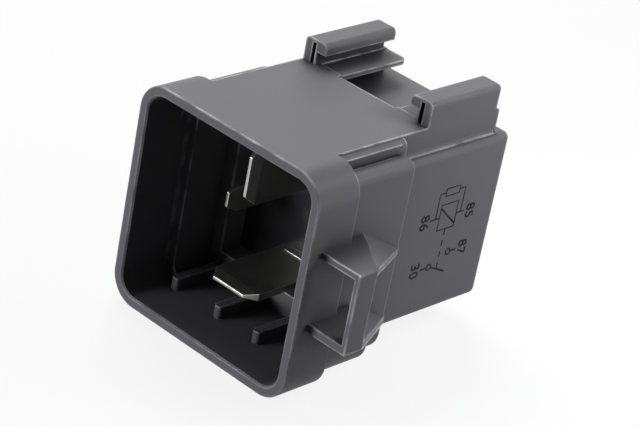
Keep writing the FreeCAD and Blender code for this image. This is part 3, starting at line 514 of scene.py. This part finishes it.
# %% Sealing resin and resistor lacquer
def smooth_skin(name, dark, light, spot_size, detail, strength, height, **skin):
    """A smooth surface whose colour and height change a little from spot to spot."""
    made, tree = new_material(name)
    place = add(tree, "TexCoord")
    spots = add(tree, "TexNoise", links={"Vector": (place, "Object")},
                sockets={"Scale": per_metre(spot_size), "Detail": detail})
    tone = add(tree, "Mix", data_type="RGBA", links={SHARE: (spots, "Fac")},
               sockets={COLOUR_A: linear(dark), COLOUR_B: linear(light)})
    bump = add(tree, "Bump", sockets={"Strength": strength, "Distance": height * MM},
               links={"Height": (spots, "Fac")})
    shader = add(tree, "BsdfPrincipled", sockets=skin,
                 links={"Base Color": (tone, MIXED_COLOUR), "Normal": (bump, "Normal")})
    finish_material(tree, shader)
    print("skin:", name, dark, light)
    return made


sealing_resin = smooth_skin(
    "cast_epoxy_resin", dark="#141416", light="#1d1d20", spot_size=3.5, detail=1.0,
    strength=0.6, height=0.15, Roughness=0.22, IOR=1.55)
resistor_ceramic = smooth_skin(
    "lacquered_resistor_body", dark="#7fa9b8", light="#8fb8c4", spot_size=0.6, detail=2.0,
    strength=0.3, height=0.03, Roughness=0.3)

# %% [markdown]
# ## Dressing the measured solids
#
# The solids keep their shape and place. Only their material slot changes,
# so each node is given the finish of what it is made of.

# %% Dress every measured node
DRESS = {
    "housing": housing_plastic, "base_plate": base_plastic, "sealing_compound": sealing_resin,
    "terminal_30": tinned_brass, "terminal_87": tinned_brass, "terminal_86": tinned_brass,
    "terminal_85": tinned_brass, "yoke": plated_iron, "core": plated_iron,
    "armature": plated_iron, "bobbin": bobbin_plastic, "coil_winding": copper_wire,
    "coil_lead_wires": copper_wire, "contact_spring": spring_bronze,
    "spring_rivets": rivet_steel, "rest_stop": rivet_steel, "armature_rivets": rivet_steel,
    "fixed_contact": silver_contact, "moving_contact": silver_contact,
    "suppression_resistor": resistor_ceramic, "resistor_leads": tinned_wire,
}
for name, material in DRESS.items():
    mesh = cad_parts[name].data
    mesh.materials.clear()
    mesh.materials.append(material)
print("dressed", len(DRESS), "of", len(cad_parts), "nodes")

# %% [markdown]
# ## The leaf spring
#
# The contact leaf is one strip of bronze: punched flat with its holes, then
# folded once. It is riveted on top of the yoke, bends over the yoke's end
# and hangs down behind the armature. When the coil pulls, the riveted part
# stays and only the part beyond the fold swings, so the leaf has to bend.
# That is why this strip stands for the solid one: it is extruded station by
# station along its path, which gives it enough rows of faces to bend with.
#
# Every length here is in millimetres, and a station is a pair of Y and Z.
# The hanging part is drawn as it stands while the relay is open.

# %% Path of the leaf
LEAF_WIDTH = 5.0
LEAF_THICKNESS = 0.2
HINGE_Y, HINGE_Z = 24.02, 19.4
OPEN = math.radians(3.0)
ON_YOKE_Z = 20.1
FOLD_Y, FOLD_Z = 24.57, 19.607
FOLD_REACH, FOLD_RISE = 0.5407, 0.493
BACK_Y = 25.12
LEAF_END_Z = 4.55
FLAT_STATIONS = (18.6, 21.6, 24.0, FOLD_Y)
FOLD_ANGLES = (22.5, 45, 67.5, 90)
HANGING_SHARES = (0.02, 0.05, 0.09, 0.14, 0.3, 0.6, 1.0)


def opened(y, z):
    """Where a point of the closed armature stands while the relay is open."""
    dy, dz = y - HINGE_Y, z - HINGE_Z
    return (HINGE_Y + dy * math.cos(OPEN) - dz * math.sin(OPEN),
            HINGE_Z + dy * math.sin(OPEN) + dz * math.cos(OPEN))


flat_part = [(y, ON_YOKE_Z) for y in FLAT_STATIONS]
fold = [(FOLD_Y + FOLD_REACH * math.sin(math.radians(a)),
         FOLD_Z + FOLD_RISE * math.cos(math.radians(a))) for a in FOLD_ANGLES]
top_y, top_z = fold[-1]
low_y, low_z = opened(BACK_Y, LEAF_END_Z)
hanging = [(top_y + (low_y - top_y) * t, top_z + (low_z - top_z) * t) for t in HANGING_SHARES]
stations = flat_part + fold + hanging
print("leaf path:", len(stations), "stations")

# %% [markdown]
# The first strip of the path starts as a plane. Its far edge is then
# extruded from station to station, as one would bend a strip by hand.

# %% Strip of the leaf
first, second = stations[0], stations[1]
select_only()
bpy.ops.mesh.primitive_plane_add(size=1.0, location=(0, 0, 0))
leaf = bpy.context.object
leaf.name = "contact_leaf"
bpy.ops.object.mode_set(mode="EDIT")
bpy.ops.transform.resize(value=(LEAF_WIDTH * MM, (second[0] - first[0]) * MM, 1.0))
bpy.ops.transform.translate(value=(0, (first[0] + second[0]) / 2 * MM, first[1] * MM))
bpy.ops.mesh.select_all(action="DESELECT")
bpy.ops.mesh.select_mode(type="EDGE")
bpy.ops.object.mode_set(mode="OBJECT")
for edge in leaf.data.edges:
    ends = [leaf.data.vertices[v].co.y for v in edge.vertices]
    edge.select = min(ends) > (second[0] - 0.1) * MM
bpy.ops.object.mode_set(mode="EDIT")
for (y0, z0), (y1, z1) in zip(stations[1:], stations[2:]):
    step = (0, (y1 - y0) * MM, (z1 - z0) * MM)
    bpy.ops.mesh.extrude_region_move(TRANSFORM_OT_translate={"value": step})
bpy.ops.object.mode_set(mode="OBJECT")
print("leaf strip:", len(leaf.data.polygons), "faces along its path")

# %% [markdown]
# A strip becomes sheet metal with Solidify, which gives it its thickness on
# both sides of the path. The five rivet holes are punched through with
# cylinders: two on the yoke, two at the armature and one for the contact.

# %% Thickness and holes of the leaf
HOLE_RADIUS = 0.5
HOLE_X = 1.3
YOKE_HOLES_Y = 19.95
ARMATURE_HOLES_Z = 17.9
CONTACT_HOLE_Z = 5.6
PUNCH_LENGTH = 1.2
CRISP_ANGLE = math.radians(35)

select_only(leaf)
strip = leaf.modifiers.new("strip", "SOLIDIFY")
strip.thickness = LEAF_THICKNESS * MM
strip.offset = 0.0
bpy.ops.object.modifier_apply(modifier="strip")
upright, swung = 0.0, math.pi / 2 + OPEN
punched = [(x, YOKE_HOLES_Y, ON_YOKE_Z, upright) for x in (-HOLE_X, HOLE_X)]
punched += [(x, *opened(BACK_Y, ARMATURE_HOLES_Z), swung) for x in (-HOLE_X, HOLE_X)]
punched += [(0.0, *opened(BACK_Y, CONTACT_HOLE_Z), swung)]
for x, y, z, turned in punched:
    select_only()
    bpy.ops.mesh.primitive_cylinder_add(
        vertices=24, radius=HOLE_RADIUS * MM, depth=PUNCH_LENGTH * MM,
        location=(x * MM, y * MM, z * MM), rotation=(turned, 0, 0))
    punch = bpy.context.object
    select_only(leaf)
    hole = leaf.modifiers.new("hole", "BOOLEAN")
    hole.object = punch
    bpy.ops.object.modifier_apply(modifier="hole")
    bpy.data.objects.remove(punch)
bpy.ops.object.shade_smooth_by_angle(angle=CRISP_ANGLE)
print("leaf:", len(punched), "holes,", len(leaf.data.polygons), "faces")

# %% [markdown]
# The leaf takes the solid one's place. Its box is measured against the
# solid's, because the two must not differ.

# %% The leaf takes the solid one's place
leaf.data.materials.clear()
leaf.data.materials.append(spring_bronze)
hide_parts("contact_spring")
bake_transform(leaf)
solid_box = [[round(c / MM, 2) for c in corner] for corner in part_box("contact_spring")]
points = [vertex.co / MM for vertex in leaf.data.vertices]
leaf_box = [[round(pick(p[i] for p in points), 2) for i in range(3)] for pick in (min, max)]
print("box of the solid leaf:", solid_box)
print("box of this leaf:     ", leaf_box)

# %% [markdown]
# ## The wiring diagram
#
# The side of the can carries the usual diagram of a closing relay with its
# suppression resistor, burnt in by a laser, with the four standard contact
# numbers. The laser burns unevenly, so some strokes are paler. Each stroke
# is a flat ridge of darkened plastic a few hundredths of a millimetre high.
# A bevelled curve makes such a stroke, and it is turned into a mesh before
# it is placed on the can's side.

# %% The darkened plastic of the marks
SPECK_SIZE = 0.15
PALE_STRETCH_SIZE = 1.6

mark_plastic, tree = new_material("laser_darkened_plastic")
place = add(tree, "TexCoord")
speck = add(tree, "TexNoise", links={"Vector": (place, "Object")},
            sockets={"Scale": per_metre(SPECK_SIZE), "Detail": 2.0})
uneven = add(tree, "TexNoise", links={"Vector": (place, "Object")},
             sockets={"Scale": per_metre(PALE_STRETCH_SIZE), "Detail": 2.0})
burnt = add(tree, "MapRange", links={"Value": (uneven, "Fac")},
            sockets={"From Min": 0.38, "From Max": 0.66})
tone = add(tree, "Mix", data_type="RGBA", links={SHARE: (burnt, "Result")},
           sockets={COLOUR_A: linear("#0b0b0e"), COLOUR_B: linear("#343338")})
bump = add(tree, "Bump", sockets={"Strength": 0.4, "Distance": 0.01 * MM},
           links={"Height": (speck, "Fac")})
shader = add(tree, "BsdfPrincipled", sockets={"Roughness": 0.7, "Specular IOR Level": 0.1},
             links={"Base Color": (tone, MIXED_COLOUR), "Normal": (bump, "Normal")})
finish_material(tree, shader)
print("marks: specks of", SPECK_SIZE, "mm, paler stretches of", PALE_STRETCH_SIZE, "mm")

# %% [markdown]
# Each mark is drawn lying flat, then turned onto the can's side, where it
# rides with the case. A curve or a text that becomes a mesh still has
# doubled points along its seams, and merging them closes the shape.

# %% From the drawing board onto the can
SIDE_X = 9.8
SAME_POINT = 0.001


def close_seams():
    """Merge the doubled points that a curve or a text leaves, and keep its edges crisp."""
    bpy.ops.object.mode_set(mode="EDIT")
    bpy.ops.mesh.select_all(action="SELECT")
    bpy.ops.mesh.remove_doubles(threshold=SAME_POINT * MM)
    bpy.ops.mesh.normals_make_consistent(inside=False)
    bpy.ops.object.mode_set(mode="OBJECT")
    bpy.ops.object.shade_smooth_by_angle(angle=CRISP_ANGLE)


def on_side(piece, name, y=0.0, z=0.0):
    """Turn a flat mesh drawn in x, y so that its x runs down and its y runs back."""
    piece.name = name
    piece.data.name = name
    piece.matrix_world = Matrix(((0, 0, 1, SIDE_X * MM), (0, 1, 0, y * MM),
                                 (-1, 0, 0, z * MM), (0, 0, 0, 1)))
    select_only(piece)
    bpy.ops.object.transform_apply(location=True, rotation=True, scale=True)
    close_seams()
    piece.data.materials.clear()
    piece.data.materials.append(mark_plastic)
    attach(piece, "case")
    return piece


# %% [markdown]
# A stroke is a curve with straight runs and a round bevel, pressed flat. A
# ring is a closed stroke. Figures are text that is pushed out to the same
# height. A text's size is that of its whole body, so it is larger than the
# height of its figures.

# %% Strokes, rings and figures
STROKE_WIDTH = 0.2
PROUD = 0.03
RING_RADIUS = 0.33
RING_STEPS = 20
FIGURE_HEIGHT = 1.32
SIZE_PER_HEIGHT = 1.37
FIGURE_SWELL = 0.01
FIGURE_SPACING = 1.02


def stroke(name, points, closed=False):
    """A flat pen stroke through points given as (y, z) in millimetres."""
    select_only()
    bpy.ops.curve.primitive_bezier_curve_add(location=(0, 0, 0))
    pen = bpy.context.object
    pen.data.splines.clear()
    line = pen.data.splines.new("POLY")
    line.points.add(len(points) - 1)
    for point, (y, z) in zip(line.points, points):
        point.co = (-z * MM, y * MM, 0, 1)
    line.use_cyclic_u = closed
    pen.data.dimensions = "3D"
    pen.data.bevel_depth = STROKE_WIDTH / 2 * MM
    pen.data.bevel_resolution = 2
    pen.data.use_fill_caps = not closed
    bpy.ops.object.convert(target="MESH")
    piece = bpy.context.object
    piece.scale = (1, 1, PROUD / (STROKE_WIDTH / 2))
    bpy.ops.object.transform_apply(location=True, rotation=True, scale=True)
    return on_side(piece, name)


def ring(name, y, z):
    """A small contact circle of the diagram."""
    angles = [2 * math.pi * i / RING_STEPS for i in range(RING_STEPS)]
    points = [(y + RING_RADIUS * math.cos(a), z + RING_RADIUS * math.sin(a)) for a in angles]
    return stroke(name, points, closed=True)


def figures(name, text, y, z):
    """Contact numbers that read downwards, with their tops towards the back."""
    select_only()
    bpy.ops.object.text_add(location=(0, 0, 0))
    words = bpy.context.object
    words.data.body = text
    words.data.size = FIGURE_HEIGHT * SIZE_PER_HEIGHT * MM
    words.data.align_x = "CENTER"
    words.data.align_y = "CENTER"
    words.data.extrude = PROUD * MM
    words.data.offset = FIGURE_SWELL * MM
    words.data.space_character = FIGURE_SPACING
    bpy.ops.object.convert(target="MESH")
    return on_side(bpy.context.object, name, y, z)


# %% [markdown]
# The diagram is a coil with a slash, a resistor across it, a dashed link
# down to the contact arm, and two contact circles. A place on it is a pair
# of Y and Z in millimetres, backwards and upwards on the can's side.

# %% Draw the diagram
COIL_BOX = [(19.35, 15.65), (21.92, 15.65), (21.92, 12.7), (19.35, 12.7)]
COIL_LEADS_Z = 14.2
RESISTOR_BOX = [(19.62, 17.48), (21.72, 17.48), (21.72, 16.62), (19.62, 16.62)]
RESISTOR_LEADS_Z = 17.05
RESISTOR_LEAD_86_Y, RESISTOR_LEAD_85_Y = 18.74, 22.6
LINK_Y = 20.65
CONTACT_87_Z, CONTACT_30_Z = 9.68, 8.5

marks = [
    stroke("mark_resistor", RESISTOR_BOX, closed=True),
    stroke("mark_resistor_lead_86", [
        (19.62, RESISTOR_LEADS_Z), (RESISTOR_LEAD_86_Y, RESISTOR_LEADS_Z),
        (RESISTOR_LEAD_86_Y, COIL_LEADS_Z)]),
    stroke("mark_resistor_lead_85", [
        (21.72, RESISTOR_LEADS_Z), (RESISTOR_LEAD_85_Y, RESISTOR_LEADS_Z),
        (RESISTOR_LEAD_85_Y, COIL_LEADS_Z)]),
    stroke("mark_coil", COIL_BOX, closed=True),
    stroke("mark_coil_slash", [(19.35, 15.3), (21.92, 13.05)]),
    stroke("mark_lead_86", [(17.95, COIL_LEADS_Z), (19.35, COIL_LEADS_Z)]),
    stroke("mark_lead_85", [(21.92, COIL_LEADS_Z), (23.2, COIL_LEADS_Z)]),
    stroke("mark_link_1", [(LINK_Y, 12.7), (LINK_Y, 12.0)]),
    stroke("mark_link_2", [(LINK_Y, 11.35), (LINK_Y, 10.7)]),
    stroke("mark_link_3", [(LINK_Y, 10.05), (LINK_Y, 9.4)]),
    stroke("mark_link_4", [(LINK_Y, 8.75), (LINK_Y, 8.05)]),
    ring("mark_ring_87", 21.95, CONTACT_87_Z),
    stroke("mark_lead_87", [(22.28, CONTACT_87_Z), (23.2, CONTACT_87_Z)]),
    ring("mark_ring_30", 19.3, CONTACT_30_Z),
    stroke("mark_lead_30", [(18.0, CONTACT_30_Z), (18.97, CONTACT_30_Z)]),
    stroke("mark_contact_arm", [(19.62, 8.42), (22.0, 7.4)]),
    figures("mark_85", "85", 24.05, 14.0),
    figures("mark_86", "86", 17.05, 14.2),
    figures("mark_87", "87", 24.1, 9.7),
    figures("mark_30", "30", 17.05, 8.6),
]
print("diagram:", len(marks), "marks")

# %% [markdown]
# Last, the box of the finished model is set against the box of the measured
# one, because its looks must not make the part larger.

# %% Print how much the box grew, and finish
low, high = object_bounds()
below = [round((a - b) / MM, 3) for a, b in zip(cad_low, low)]
above = [round((a - b) / MM, 3) for a, b in zip(high, cad_high)]
print("grown by mm:", below, above)
